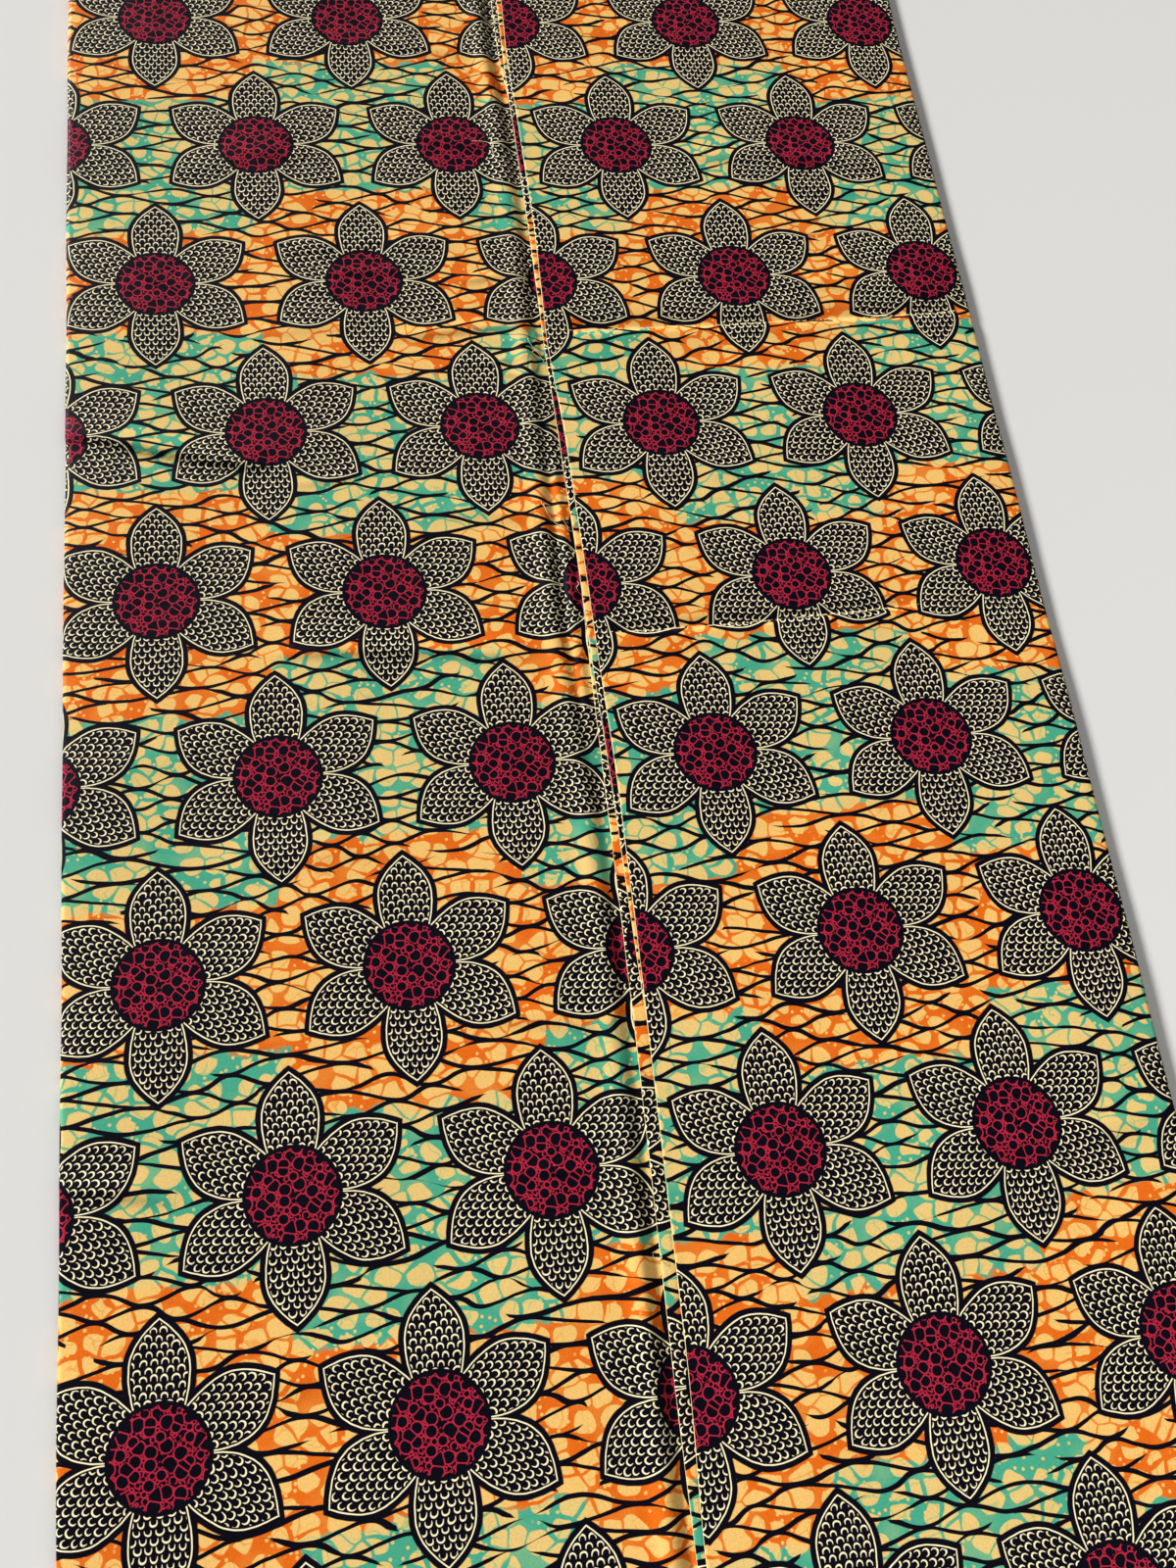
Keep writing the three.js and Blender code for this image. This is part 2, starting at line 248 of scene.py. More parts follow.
def ripple(distance, y):
    """The left half beside the join: the dip down to its edge, a trough along it, and a ridge."""
    columns = RIPPLE[:, 1:].T
    ridge, ridge_at, trough, trough_at = (np.interp(y / MM, RIPPLE[:, 0], column) * MM for column in columns)
    crest = ridge * np.exp(-(((distance - ridge_at) / RIDGE_WIDTH) ** 2)) * smooth(0, DIP[1], distance)
    valley = trough * np.exp(-(((distance - trough_at) / TROUGH_WIDTH) ** 2)) * smooth(0, 2 * MM, distance)
    return crest - valley - (TOP - EDGE_LEVEL) * (1 - smooth(*DIP, distance))


def side_wave(side, y):
    """How far a side fold draws in: two slow waves, and on the left a notch where a crease runs out."""
    waves = 2 + np.sin(y / (61 * MM) + side) + np.sin(y / (23 * MM) + 2 * side)
    start, deepest, end = NOTCH_PLACES
    notch = smooth(start, deepest, y) * (1 - smooth(deepest, end, y)) if side < 0 else 0.0
    return FOLD_WAVE * waves + NOTCH * notch


# ---- Meshes ----


def sheet(name, points, cut, edge, material, flip=False):
    """A sheet of cloth over a grid of points, given as an array of rows by columns by 3. cut holds each
    point's place on the flat cloth and edge its distance from the selvedge, for the print. Solidify
    gives the cloth its thickness, inwards from the face that shows."""
    rows, columns = points.shape[:2]
    index = np.arange(rows * columns).reshape(rows, columns)
    corners = [index[:-1, :-1], index[:-1, 1:], index[1:, 1:], index[1:, :-1]]
    quads = np.stack(corners[::-1] if flip else corners, -1).reshape(-1, 4)
    mesh = bpy.data.meshes.new(name)
    mesh.from_pydata(points.reshape(-1, 3), [], quads.tolist())
    layer = mesh.uv_layers.new(name="cut")
    layer.data.foreach_set("uv", cut.reshape(-1, 2)[quads.ravel()].ravel())
    distance = mesh.attributes.new("selvedge", "FLOAT", "POINT")
    distance.data.foreach_set("value", edge.ravel())
    mesh.polygons.foreach_set("use_smooth", np.ones(len(quads), dtype=bool))
    mesh.update()
    piece = bpy.data.objects.new(name, mesh)
    bpy.context.collection.objects.link(piece)
    piece.data.materials.append(material)
    solidify = piece.modifiers.new("thickness", "SOLIDIFY")
    solidify.thickness = CLOTH
    solidify.offset = -1
    solidify.use_even_offset = False
    return piece


def grid(rows, columns):
    """Two arrays of the rows' and the columns' values over the whole grid."""
    return np.meshgrid(rows, columns, indexing="ij")


def stations(spans):
    """Values from one span to the next, each span as (start, step), up to the last start."""
    parts = [np.arange(a[0], b[0] - 0.5 * a[1], a[1]) for a, b in zip(spans, spans[1:])]
    return np.concatenate([*parts, [spans[-1][0]]])


ROW_STEP = 5.4 * MM
SOFT_CREASE = (12, 3.0 * MM)  # mm on each side of a crease over which the rows are closer, and their step
SHARP_CREASE = (8, 1.5 * MM)
LOW_CREASE = 0.7  # mm: a lower crease needs no closer rows


def close_rows(half, near, far):
    """Rows along a half, closer together across its creases, and closest across the sharp ones."""
    y, rows = near, [near]
    while y < far:
        step = ROW_STEP
        for _, y0, _, y1, _, height, far_width, near_width in CREASES[half]:
            beside, close = SHARP_CREASE if min(far_width, near_width) < SHARP_WIDTH else SOFT_CREASE
            reach = 0.5 * abs(y1 - y0) + beside
            if abs(height) >= LOW_CREASE and abs(y / MM - 0.5 * (y0 + y1)) < reach:
                step = min(step, close)
        y += step
        rows.append(min(y, far))
    return np.array(rows)


ROLL_ROWS = 6
LAST_ROW = 3 * MM  # how far beyond the end the print runs on the last row


def rolled(points, run, edge, end, side, back_to):
    """Carries a sheet round a small fold at one end, down onto the layer inside it: rows on a half
    circle between the cloth's own direction and its inward normal, and one row back to back_to. The
    normal is the direction across the cloth, turned a quarter inwards."""
    row = points[end]
    step = np.gradient(row, axis=0)
    inward = np.stack([step[:, 2], 0 * step[:, 1], -step[:, 0]], -1) * side
    inward /= np.linalg.norm(inward, axis=1, keepdims=True)
    out = np.array([0.0, 1.0 if end else -1.0, 0.0])
    angles = np.linspace(0, np.pi, ROLL_ROWS + 1)[1:]
    around = [row + out * END_ROLL * math.sin(a) + inward * END_ROLL * (1 - math.cos(a)) for a in angles]
    last = around[-1].copy()
    last[:, 1] = back_to
    extra = np.stack([*around, last])
    beyond = np.append(END_ROLL * angles, LAST_ROW)
    down = row[0, 1] + out[1] * beyond
    extra_along = np.repeat(down[:, None], row.shape[0], axis=1)
    more = len(extra)
    run_more, edge_more = np.repeat(run[end][None], more, axis=0), np.repeat(edge[end][None], more, axis=0)
    along = points[..., 1]
    if end:
        return (
            np.concatenate([points, extra]),
            np.concatenate([run, run_more]),
            np.concatenate([along, extra_along]),
            np.concatenate([edge, edge_more]),
        )
    return (
        np.concatenate([extra[::-1], points]),
        np.concatenate([run_more, run]),
        np.concatenate([extra_along[::-1], along]),
        np.concatenate([edge_more, edge]),
    )


# The print on each layer: x and y of the flower at the print's zero, in millimetres, and how far the
# print is turned from the cloth's own length, in radians.
PRINTS = {
    "left": (-235.0, 470.8, 0.0118),
    "right": (-255.2, 465.6, -0.0012),
    "second": (-323.7, 468.0, -0.0012),
    "third": (-361.4, 470.6, -0.0012),
    "inner": (-60.0, 455.0, 0.0),
}


def print_place(layer, run, along):
    """Where a point of a layer lies on the print: metres across it and down it from the print's zero."""
    zero_x, zero_y, turn = PRINTS[layer]
    right, up = run - zero_x * MM, along - zero_y * MM
    across = right * math.cos(turn) - up * math.sin(turn)
    down = -right * math.sin(turn) - up * math.cos(turn)
    return np.stack([across, down], -1)


# ---- Materials ----


def linear(hex_colour):
    """An sRGB hex colour as linear red, green, blue and alpha."""
    values = [int(hex_colour[i : i + 2], 16) / 255 for i in (1, 3, 5)]
    return [v / 12.92 if v <= 0.04045 else ((v + 0.055) / 1.055) ** 2.4 for v in values] + [1.0]


def new_material(name):
    """An empty material and its node tree."""
    material = bpy.data.materials.new(name)
    material.use_nodes = True
    material.node_tree.nodes.clear()
    return material, material.node_tree


def add(tree, kind, values=(), out=0, **settings):
    """Adds the node ShaderNode<kind> with its settings. values gives its inputs in order, or by name in
    a dict: a socket is linked, and anything else is set. Returns an output, if it has any."""
    made = tree.nodes.new("ShaderNode" + kind)
    for key, value in settings.items():
        setattr(made, key, value)
    for key, value in values.items() if isinstance(values, dict) else enumerate(values):
        if isinstance(value, bpy.types.NodeSocket):
            tree.links.new(value, made.inputs[key])
        else:
            made.inputs[key].default_value = value
    return made.outputs[out] if made.outputs else None


# With these settings a MapRange is a mask: it goes smoothly from 0 at its second value to 1 at its third.
SMOOTH = {"interpolation_type": "SMOOTHSTEP"}

GOLD = linear("#e9bd72")  # cream of the cloth, stained by the last bath
GOLD_IN_GREEN = linear("#dfc07c")
ORANGE = linear("#dc6f1e")
ORANGE_VEIN = linear("#e39a48")
GREEN = linear("#50a688")
GREEN_VEIN = linear("#9cbb82")
NAVY = linear("#0e0b19")
CRIMSON = linear("#b22e46")
CREAM = linear("#f8ecc3")
# Bare undyed cotton where the selvedge shows. Also the pale line along two sharp creases, which is partly
# print rubbing away and partly a painted highlight of the crease.
BARE_AND_HIGHLIGHT_CREAM = linear("#e6d3a2")

# Sizes of the print, in repeats unless they say otherwise.
ROW = 0.866  # from one row of flowers to the next: the flowers stand in equal triangles
PETAL_MIDDLE = 0.292  # distance from a flower's centre to the widest part of a petal
PETAL_REACH = 0.208  # from there to the tip
PETAL_HALF_WIDTH = 0.134
PETAL_LOW_WIDTH = 0.152  # of the half of a side petal that faces the next flower in the row
TIP_POWER = 2.2
BASE_TAPER = 9.0
LOW_BASE_TAPER = 15.0
OUTLINE = 0.0215
CREAM_LINE = 0.0055
ARCH_FIELD = (0.0040, 0.0075)  # from the cream line to where the arches start, softly
ARCH_ROW = 0.0280
ARCH_WIDTH = 0.0400
ARCH_RADIUS = 0.0119
ARCH_STROKE = 0.0029  # half a stroke's thickness at the arch's middle, with its soft edge
ARCH_CROWN = 0.13  # by how much it thickens, for each unit further up
ARCH_LEG = 0.0060
ARCH_STRAY = (0.018, 0.014)  # how far the rows stray, across and along a petal
ARCH_OWN = (0.0026, -0.0030, 0.0030)  # how far each arch differs, across and along, and in its radius
DISC = 0.190
BUBBLES = ((20.0, 0.0280), (31.0, 0.0150), (50.0, 0.0090))  # how many a repeat, and their largest radius
BUBBLE_RANDOMNESS = 0.85
NET = 0.0052  # width of the net between two bubbles
NET_START = (-0.0010, 0.0012)  # from a bubble's edge, softly
NET_END = (0.0060, 0.0046)  # where dark islands start
NET_RIM = (0.179, 0.175)  # from the flower's centre, with the next line added
RIM_SHARE = 0.8  # share of the distance to the edge of the bubble's cell
HAND = 9.0  # features a repeat of the hand's unevenness
TREMOR = (34.0, 0.002)  # the same for a flower's edges, and how far it moves them
WAVE_HEIGHT = 0.051
WAVE_LENGTH = 0.39
WAVE_SWING = 0.47  # in wave heights
WAVE_STROKE = (-0.05, 0.165)  # half a line's thickness, thinnest and thickest, in wave heights
WAVE_PRESS = (0.24, 0.42)  # the noise at which it is so thin and so thick
WAVE_SPOTS = (2.8, 12.0, 1.0)  # features of that noise a repeat
WAVE_PAIR = (7.3, 3.1, 0.0)  # from the noise of the one line to that of the other
WAVE_DRIFT = (0.34, 0.040, 0.0)
DRIFT_STRETCH, DRIFT_SPOTS = (0.9, 2.1, 1.0), 1.7
WAVE_BEND = (0.010, 0.010, 0.0)
ZONE_LIMITS = (0.65, 0.35)  # rows from an even row to where green starts, in even and in odd blocks
ZONE_BEND = (0.11, 0.11, 0.0)
CELLS = (10.8, 12.2, 1.0)  # cream cells of the ground, across and along a repeat
CELL_RANDOMNESS = 0.92
CELL_BEND = (0.045, 0.045, 0.0)
DYE_SPOTS = 5.5  # features a repeat of the dye's strength
DYE_LEVELS = (0.34, 0.68)  # the weakest and strongest dye
CELL_NET = (0.046, 0.135)  # width of the dye's net at these levels, in cells
CELL_REACH = (0.60, 0.39)  # radius of the cells
CELL_EDGE = (-0.028, 0.022)
VEINS, VEIN_BEND = 10.5, (0.12, 0.12, 0.0)
VEIN_EDGE, VEIN_LEVELS = (0.05, 0.012), (0.40, 0.52)
VEIN_STRENGTH = 0.75
DOTS, DOT_EDGE, DOT_LEVELS = 24.0, (0.19, 0.12), (0.52, 0.60)
WEAK_LEVELS, WEAKEST = (0.30, 0.55), 0.45  # where weak dye turns paler, and by how much at most
BLUR = {"petal": 0.0020, "line": 0.0010, "arch": 0.0012, "disc": 0.0015, "wave": 0.024, "zone": 0.012}
HALF = (0.5, 0.5, 0.5)


def nearest_flower(tree, point):
    """Offset of a point from the nearest flower. The flowers stand in two rectangular lattices, one for
    the even rows and one for the odd ones, and the nearer flower of the two counts."""
    period, shift = (0.5, ROW, 1.0), (0.5, ROW, 0.0)
    low = tuple(-value for value in period)
    even = add(tree, "VectorMath", [point, period, low], operation="WRAP")
    moved = add(tree, "VectorMath", [point, shift], operation="SUBTRACT")
    odd = add(tree, "VectorMath", [moved, period, low], operation="WRAP")
    even_far = add(tree, "VectorMath", [even], out=1, operation="LENGTH")
    odd_far = add(tree, "VectorMath", [odd], out=1, operation="LENGTH")
    is_even = add(tree, "Math", [even_far, odd_far], operation="LESS_THAN")
    offset = add(tree, "MixRGB", [is_even, odd, even])
    return offset, add(tree, "Math", [even_far, odd_far], operation="MINIMUM")


def petal(tree, offset, radius):
    """Place in the nearest petal, out along its axis and across it, and the distance to its outline,
    minus inside. A petal's half width falls from its middle by a power towards the tip, and by a square
    towards the base. The six axes stand at 30 degrees and every 60 degrees from there. A side petal is
    fuller on its half that lies within 30 degrees of the row."""
    sixth = math.pi / 3
    x, y = (add(tree, "SeparateXYZ", [offset], out=i) for i in (0, 1))
    angle = add(tree, "Math", [y, x], operation="ARCTAN2")
    folded = add(tree, "Math", [angle, sixth, 0.0], operation="WRAP")
    turn = add(tree, "Math", [folded, sixth / 2], operation="SUBTRACT")
    cosine = add(tree, "Math", [turn], operation="COSINE")
    sine = add(tree, "Math", [turn], operation="SINE")
    out_along = add(tree, "Math", [radius, cosine], operation="MULTIPLY")
    across = add(tree, "Math", [radius, sine], operation="MULTIPLY")
    to_tip = add(tree, "Math", [out_along, PETAL_MIDDLE], operation="SUBTRACT")
    tip_share = add(tree, "Math", [to_tip, PETAL_REACH], operation="DIVIDE", use_clamp=True)
    tip_loss = add(tree, "Math", [tip_share, TIP_POWER], operation="POWER")
    past_reach = add(tree, "Math", [to_tip, PETAL_REACH], operation="SUBTRACT")
    beyond = add(tree, "Math", [past_reach, 0.0], operation="MAXIMUM")
    base = add(tree, "Math", [to_tip, 0.0], operation="MINIMUM")
    base_square = add(tree, "Math", [base, base], operation="MULTIPLY")
    rise = add(tree, "Math", [add(tree, "Math", [y], operation="ABSOLUTE"), radius], operation="DIVIDE")
    low = add(tree, "Math", [rise, math.sin(sixth / 2)], operation="LESS_THAN")
    taper = add(tree, "Math", [low, LOW_BASE_TAPER - BASE_TAPER, BASE_TAPER], operation="MULTIPLY_ADD")
    loss = add(tree, "Math", [base_square, taper, tip_loss], operation="MULTIPLY_ADD")
    fuller = PETAL_LOW_WIDTH - PETAL_HALF_WIDTH
    widest = add(tree, "Math", [low, fuller, PETAL_HALF_WIDTH], operation="MULTIPLY_ADD")
    kept = add(tree, "Math", [1.0, loss], operation="SUBTRACT")
    half = add(tree, "Math", [kept, widest], operation="MULTIPLY")
    past = add(tree, "Math", [add(tree, "Math", [across], operation="ABSOLUTE"), half], operation="SUBTRACT")
    # The distance past the outline, measured across, is shortened by the outline's slope near the tip.
    slope = add(tree, "Math", [tip_share, TIP_POWER - 1], operation="POWER")
    steep = PETAL_HALF_WIDTH * TIP_POWER / PETAL_REACH
    run = add(tree, "Math", [slope, steep], operation="MULTIPLY")
    run_square = add(tree, "Math", [run, run, 1.0], operation="MULTIPLY_ADD")
    tilt = add(tree, "Math", [run_square], operation="INVERSE_SQRT")
    return out_along, across, add(tree, "Math", [past, tilt, beyond], operation="MULTIPLY_ADD")


def arches(tree, out_along, across, noise):
    """Staggered rows of small arches, open towards the disc. An arch is a ring above its middle and two
    legs below: the distance to a circle, taken from a point that never lies under the circle's centre.
    The stroke is thickest at the crown. Each arch has its own size and sits a little off its place."""
    wobble = add(tree, "Math", [noise, 0.5], operation="SUBTRACT")
    along = add(tree, "Math", [wobble, ARCH_STRAY[1], out_along], operation="MULTIPLY_ADD")
    row_at = add(tree, "Math", [along, ARCH_ROW], operation="DIVIDE")
    row = add(tree, "Math", [row_at], operation="FLOOR")
    share = add(tree, "Math", [row_at, row], operation="SUBTRACT")
    up = add(tree, "Math", [share, ARCH_ROW, -0.5 * ARCH_ROW], operation="MULTIPLY_ADD")
    middle = 0.5 * (ARCH_RADIUS + ARCH_STROKE - ARCH_LEG)
    raised = add(tree, "Math", [up, middle], operation="ADD")
    stagger = add(tree, "Math", [row, 0.5], operation="MULTIPLY")
    shifted = add(tree, "Math", [wobble, ARCH_STRAY[0], across], operation="MULTIPLY_ADD")
    place = add(tree, "Math", [shifted, 1 / ARCH_WIDTH, stagger], operation="MULTIPLY_ADD")
    column = add(tree, "Math", [place], operation="ROUND")
    own = add(tree, "TexWhiteNoise", [add(tree, "CombineXYZ", [column, row, 0.0])], noise_dimensions="2D")
    own = add(tree, "Math", [own, 0.5], operation="SUBTRACT")
    from_column = add(tree, "Math", [place, column], operation="SUBTRACT")
    side = add(tree, "Math", [from_column, ARCH_WIDTH], operation="MULTIPLY")
    x = add(tree, "Math", [own, ARCH_OWN[0], side], operation="MULTIPLY_ADD")
    raised = add(tree, "Math", [own, ARCH_OWN[1], raised], operation="MULTIPLY_ADD")
    y = add(tree, "Math", [raised, 0.0], operation="MAXIMUM")
    spot = add(tree, "CombineXYZ", [x, y, 0.0])
    far = add(tree, "VectorMath", [spot], out=1, operation="LENGTH")
    radius = add(tree, "Math", [own, ARCH_OWN[2], ARCH_RADIUS], operation="MULTIPLY_ADD")
    ring = add(tree, "Math", [add(tree, "Math", [far, radius], operation="SUBTRACT")], operation="ABSOLUTE")
    stroke = add(tree, "Math", [raised, ARCH_CROWN, ARCH_STROKE - BLUR["arch"]], operation="MULTIPLY_ADD")
    outside = add(tree, "Math", [ring, stroke], operation="SUBTRACT")
    under = add(tree, "Math", [-ARCH_LEG, raised], operation="SUBTRACT")
    past = add(tree, "Math", [outside, under], operation="MAXIMUM")
    return add(tree, "MapRange", [past, BLUR["arch"], -BLUR["arch"]], **SMOOTH)


def bubbles(tree, place, sizes=BUBBLES):
    """Distance to the nearest bubble from a place, minus inside it, in repeats. The largest bubbles are
    circles of their own sizes, cut off short of the edges of their cells. Smaller ones fill the room
    between, each as large as fits: its radius is what the larger ones leave at its centre."""
    per_repeat, most = sizes[-1]
    voronoi = {"Vector": place, "Scale": per_repeat, "Randomness": BUBBLE_RANDOMNESS}
    far = add(tree, "TexVoronoi", voronoi, voronoi_dimensions="2D")
    reach = add(tree, "Math", [far, 1 / per_repeat], operation="MULTIPLY")
    if len(sizes) == 1:
        edge = add(tree, "TexVoronoi", voronoi, voronoi_dimensions="2D", feature="DISTANCE_TO_EDGE")
        share = add(tree, "SeparateXYZ", [far.node.outputs[1]])
        own = add(tree, "MapRange", [share, 0.0, 1.0, 0.5 * most, most])
        past_cell = add(tree, "Math", [edge, -1 / per_repeat, 0.5 * NET], operation="MULTIPLY_ADD")
        past = add(tree, "Math", [reach, own], operation="SUBTRACT")
        return add(tree, "Math", [past, past_cell], operation="MAXIMUM")
    room = bubbles(tree, far.node.outputs[2], sizes[:-1])
    left_over = add(tree, "Math", [room, NET], operation="SUBTRACT")
    own = add(tree, "Math", [left_over, most], operation="MINIMUM")
    past = add(tree, "Math", [reach, own], operation="SUBTRACT")
    return add(tree, "Math", [bubbles(tree, place, sizes[:-1]), past], operation="MINIMUM")


def disc_net(tree, offset, radius):
    """The flower's disc: a crimson line round each dark bubble, and small dark islands where there is
    room between the lines. The net runs out unevenly in the dark rim."""
    past = bubbles(tree, offset)
    begun = add(tree, "MapRange", [past, *NET_START], **SMOOTH)
    unended = add(tree, "MapRange", [past, *NET_END], **SMOOTH)
    net = add(tree, "Math", [begun, unended], operation="MULTIPLY")
    per_repeat = BUBBLES[0][0]
    large = {"Vector": offset, "Scale": per_repeat, "Randomness": BUBBLE_RANDOMNESS}
    edge = add(tree, "TexVoronoi", large, voronoi_dimensions="2D", feature="DISTANCE_TO_EDGE")
    rim = add(tree, "Math", [edge, RIM_SHARE / per_repeat, radius], operation="MULTIPLY_ADD")
    inside_rim = add(tree, "MapRange", [rim, *NET_RIM], **SMOOTH)
    return add(tree, "Math", [net, inside_rim], operation="MULTIPLY")


def crackle(tree, point, wander):
    """The cream cells of the ground. Each is where the distance to the edge of its cell passes the
    width of the dye's net, and no further from its centre than its reach, which rounds it off. Returns
    how pale the ground is, how far it is crossed by fine veins, and how strong the dye is."""
    bent = add(tree, "VectorMath", [wander, CELL_BEND, point], operation="MULTIPLY_ADD")
    place = add(tree, "VectorMath", [bent, CELLS], operation="MULTIPLY")
    voronoi = {"Vector": place, "Scale": 1.0, "Randomness": CELL_RANDOMNESS}
    far = add(tree, "TexVoronoi", voronoi, voronoi_dimensions="2D")
    edge = add(tree, "TexVoronoi", voronoi, voronoi_dimensions="2D", feature="DISTANCE_TO_EDGE")
    level = add(tree, "TexNoise", {"Vector": point, "Scale": DYE_SPOTS, "Detail": 1.0}, noise_dimensions="2D")
    net = add(tree, "MapRange", [level, *DYE_LEVELS, *CELL_NET])
    reach = add(tree, "MapRange", [level, *DYE_LEVELS, *CELL_REACH])
    past_net = add(tree, "Math", [edge, net], operation="SUBTRACT")
    past_reach = add(tree, "Math", [reach, far], operation="SUBTRACT")
    room = add(tree, "Math", [past_net, past_reach], operation="MINIMUM")
    pale = add(tree, "MapRange", [room, *CELL_EDGE], **SMOOTH)
    spread = add(tree, "VectorMath", [wander, VEIN_BEND, point], operation="MULTIPLY_ADD")
    thin = {"Vector": spread, "Scale": VEINS, "Randomness": 1.0}
    thin_edge = add(tree, "TexVoronoi", thin, voronoi_dimensions="2D", feature="DISTANCE_TO_EDGE")
    crack = add(tree, "MapRange", [thin_edge, *VEIN_EDGE], **SMOOTH)
    strong = add(tree, "MapRange", [level, *VEIN_LEVELS], **SMOOTH)
    vein = add(tree, "Math", [crack, strong], operation="MULTIPLY")
    dots = add(tree, "TexVoronoi", {"Vector": point, "Scale": DOTS}, voronoi_dimensions="2D")
    spot = add(tree, "MapRange", [dots, *DOT_EDGE], **SMOOTH)
    strongest = add(tree, "MapRange", [level, *DOT_LEVELS], **SMOOTH)
    dot = add(tree, "Math", [spot, strongest], operation="MULTIPLY")
    return add(tree, "Math", [pale, dot], operation="MAXIMUM"), vein, level


def waves(tree, point, wander):
    """Braided lines across the ground. Even and odd lines swing against each other along a sine, so that
    they meet and part, and here and there one thins out to an end. Their places drift slowly."""
    slow = add(tree, "VectorMath", [point, DRIFT_STRETCH], operation="MULTIPLY")
    drifting = {"Vector": slow, "Scale": DRIFT_SPOTS, "Detail": 0.0}
    drift = add(tree, "TexNoise", drifting, out=1, noise_dimensions="2D")
    centred = add(tree, "VectorMath", [drift, HALF], operation="SUBTRACT")
    moved = add(tree, "VectorMath", [centred, WAVE_DRIFT, point], operation="MULTIPLY_ADD")
    shaken = add(tree, "VectorMath", [wander, WAVE_BEND, moved], operation="MULTIPLY_ADD")
    x, y = (add(tree, "SeparateXYZ", [shaken], out=i) for i in (0, 1))
    phase = add(tree, "Math", [x, 2 * math.pi / WAVE_LENGTH], operation="MULTIPLY")
    sine = add(tree, "Math", [phase], operation="SINE")
    swing = add(tree, "Math", [sine, WAVE_SWING], operation="MULTIPLY")
    level = add(tree, "Math", [y, WAVE_HEIGHT], operation="DIVIDE")
    spots = add(tree, "VectorMath", [point, WAVE_SPOTS], operation="MULTIPLY")
    lines = []
    for sign, start in ((-1.0, 0.0), (1.0, -1.0)):
        at = add(tree, "Math", [swing, sign, level], operation="MULTIPLY_ADD")
        shifted = add(tree, "Math", [at, start], operation="ADD")
        wrapped = add(tree, "Math", [shifted, 1.0, -1.0], operation="WRAP")
        away = add(tree, "Math", [wrapped], operation="ABSOLUTE")
        pair = tuple(start * value for value in WAVE_PAIR)
        other = add(tree, "VectorMath", [spots, pair], operation="ADD")
        press = add(tree, "TexNoise", {"Vector": other, "Scale": 1.0, "Detail": 0.0}, noise_dimensions="2D")
        half = add(tree, "MapRange", [press, *WAVE_PRESS, *WAVE_STROKE])
        lines.append(add(tree, "Math", [away, half], operation="SUBTRACT"))
    past = add(tree, "Math", lines, operation="MINIMUM")
    return add(tree, "MapRange", [past, BLUR["wave"], -BLUR["wave"]], **SMOOTH)


def zones(tree, point):
    """1 where the dye is green. The even rows of flowers stand in orange and the odd ones in green.
    Between them the colour comes from the parity of the flower's place, in blocks a repeat wide."""
    x, y = (add(tree, "SeparateXYZ", [point], out=i) for i in (0, 1))
    row_at = add(tree, "Math", [y, ROW], operation="DIVIDE")
    from_even = add(tree, "Math", [row_at, 1.0, -1.0], operation="WRAP")
    away = add(tree, "Math", [from_even], operation="ABSOLUTE")
    column = add(tree, "Math", [x], operation="ROUND")
    half_row = add(tree, "Math", [row_at, 0.5], operation="MULTIPLY")
    pair = add(tree, "Math", [half_row], operation="ROUND")
    place = add(tree, "Math", [column, pair], operation="ADD")
    parity = add(tree, "Math", [place, 2.0, 0.0], operation="WRAP")
    odd = add(tree, "Math", [parity, 0.5], operation="GREATER_THAN")
    even_limit, odd_limit = ZONE_LIMITS
    limit = add(tree, "Math", [odd, odd_limit - even_limit, even_limit], operation="MULTIPLY_ADD")
    past = add(tree, "Math", [away, limit], operation="SUBTRACT")
    return add(tree, "MapRange", [past, -BLUR["zone"], BLUR["zone"]], **SMOOTH)


# A pale, broken line along two sharp creases of the right half. It is print rubbing away there, and also a
# painted highlight of the crease.
RUB_HIGHLIGHT_WANDER = 0.8 * MM
RUB_HIGHLIGHT_EDGE = (0.55 * MM, 0.2 * MM)  # from the middle of the pale crease line, softly
RUB_HIGHLIGHT_FADE = 0.06  # share of the line behind times the share ahead at which it has faded in
RUB_HIGHLIGHT_SPOTS, RUB_HIGHLIGHT_LEVELS = 420.0, (0.42, 0.56)  # the noise that breaks the line: features a metre
RUB_HIGHLIGHT_STRENGTH = 0.85
BARE_EDGE = (0.4 * MM, 0.1 * MM)  # how far the bare selvedge reaches in, and its blur


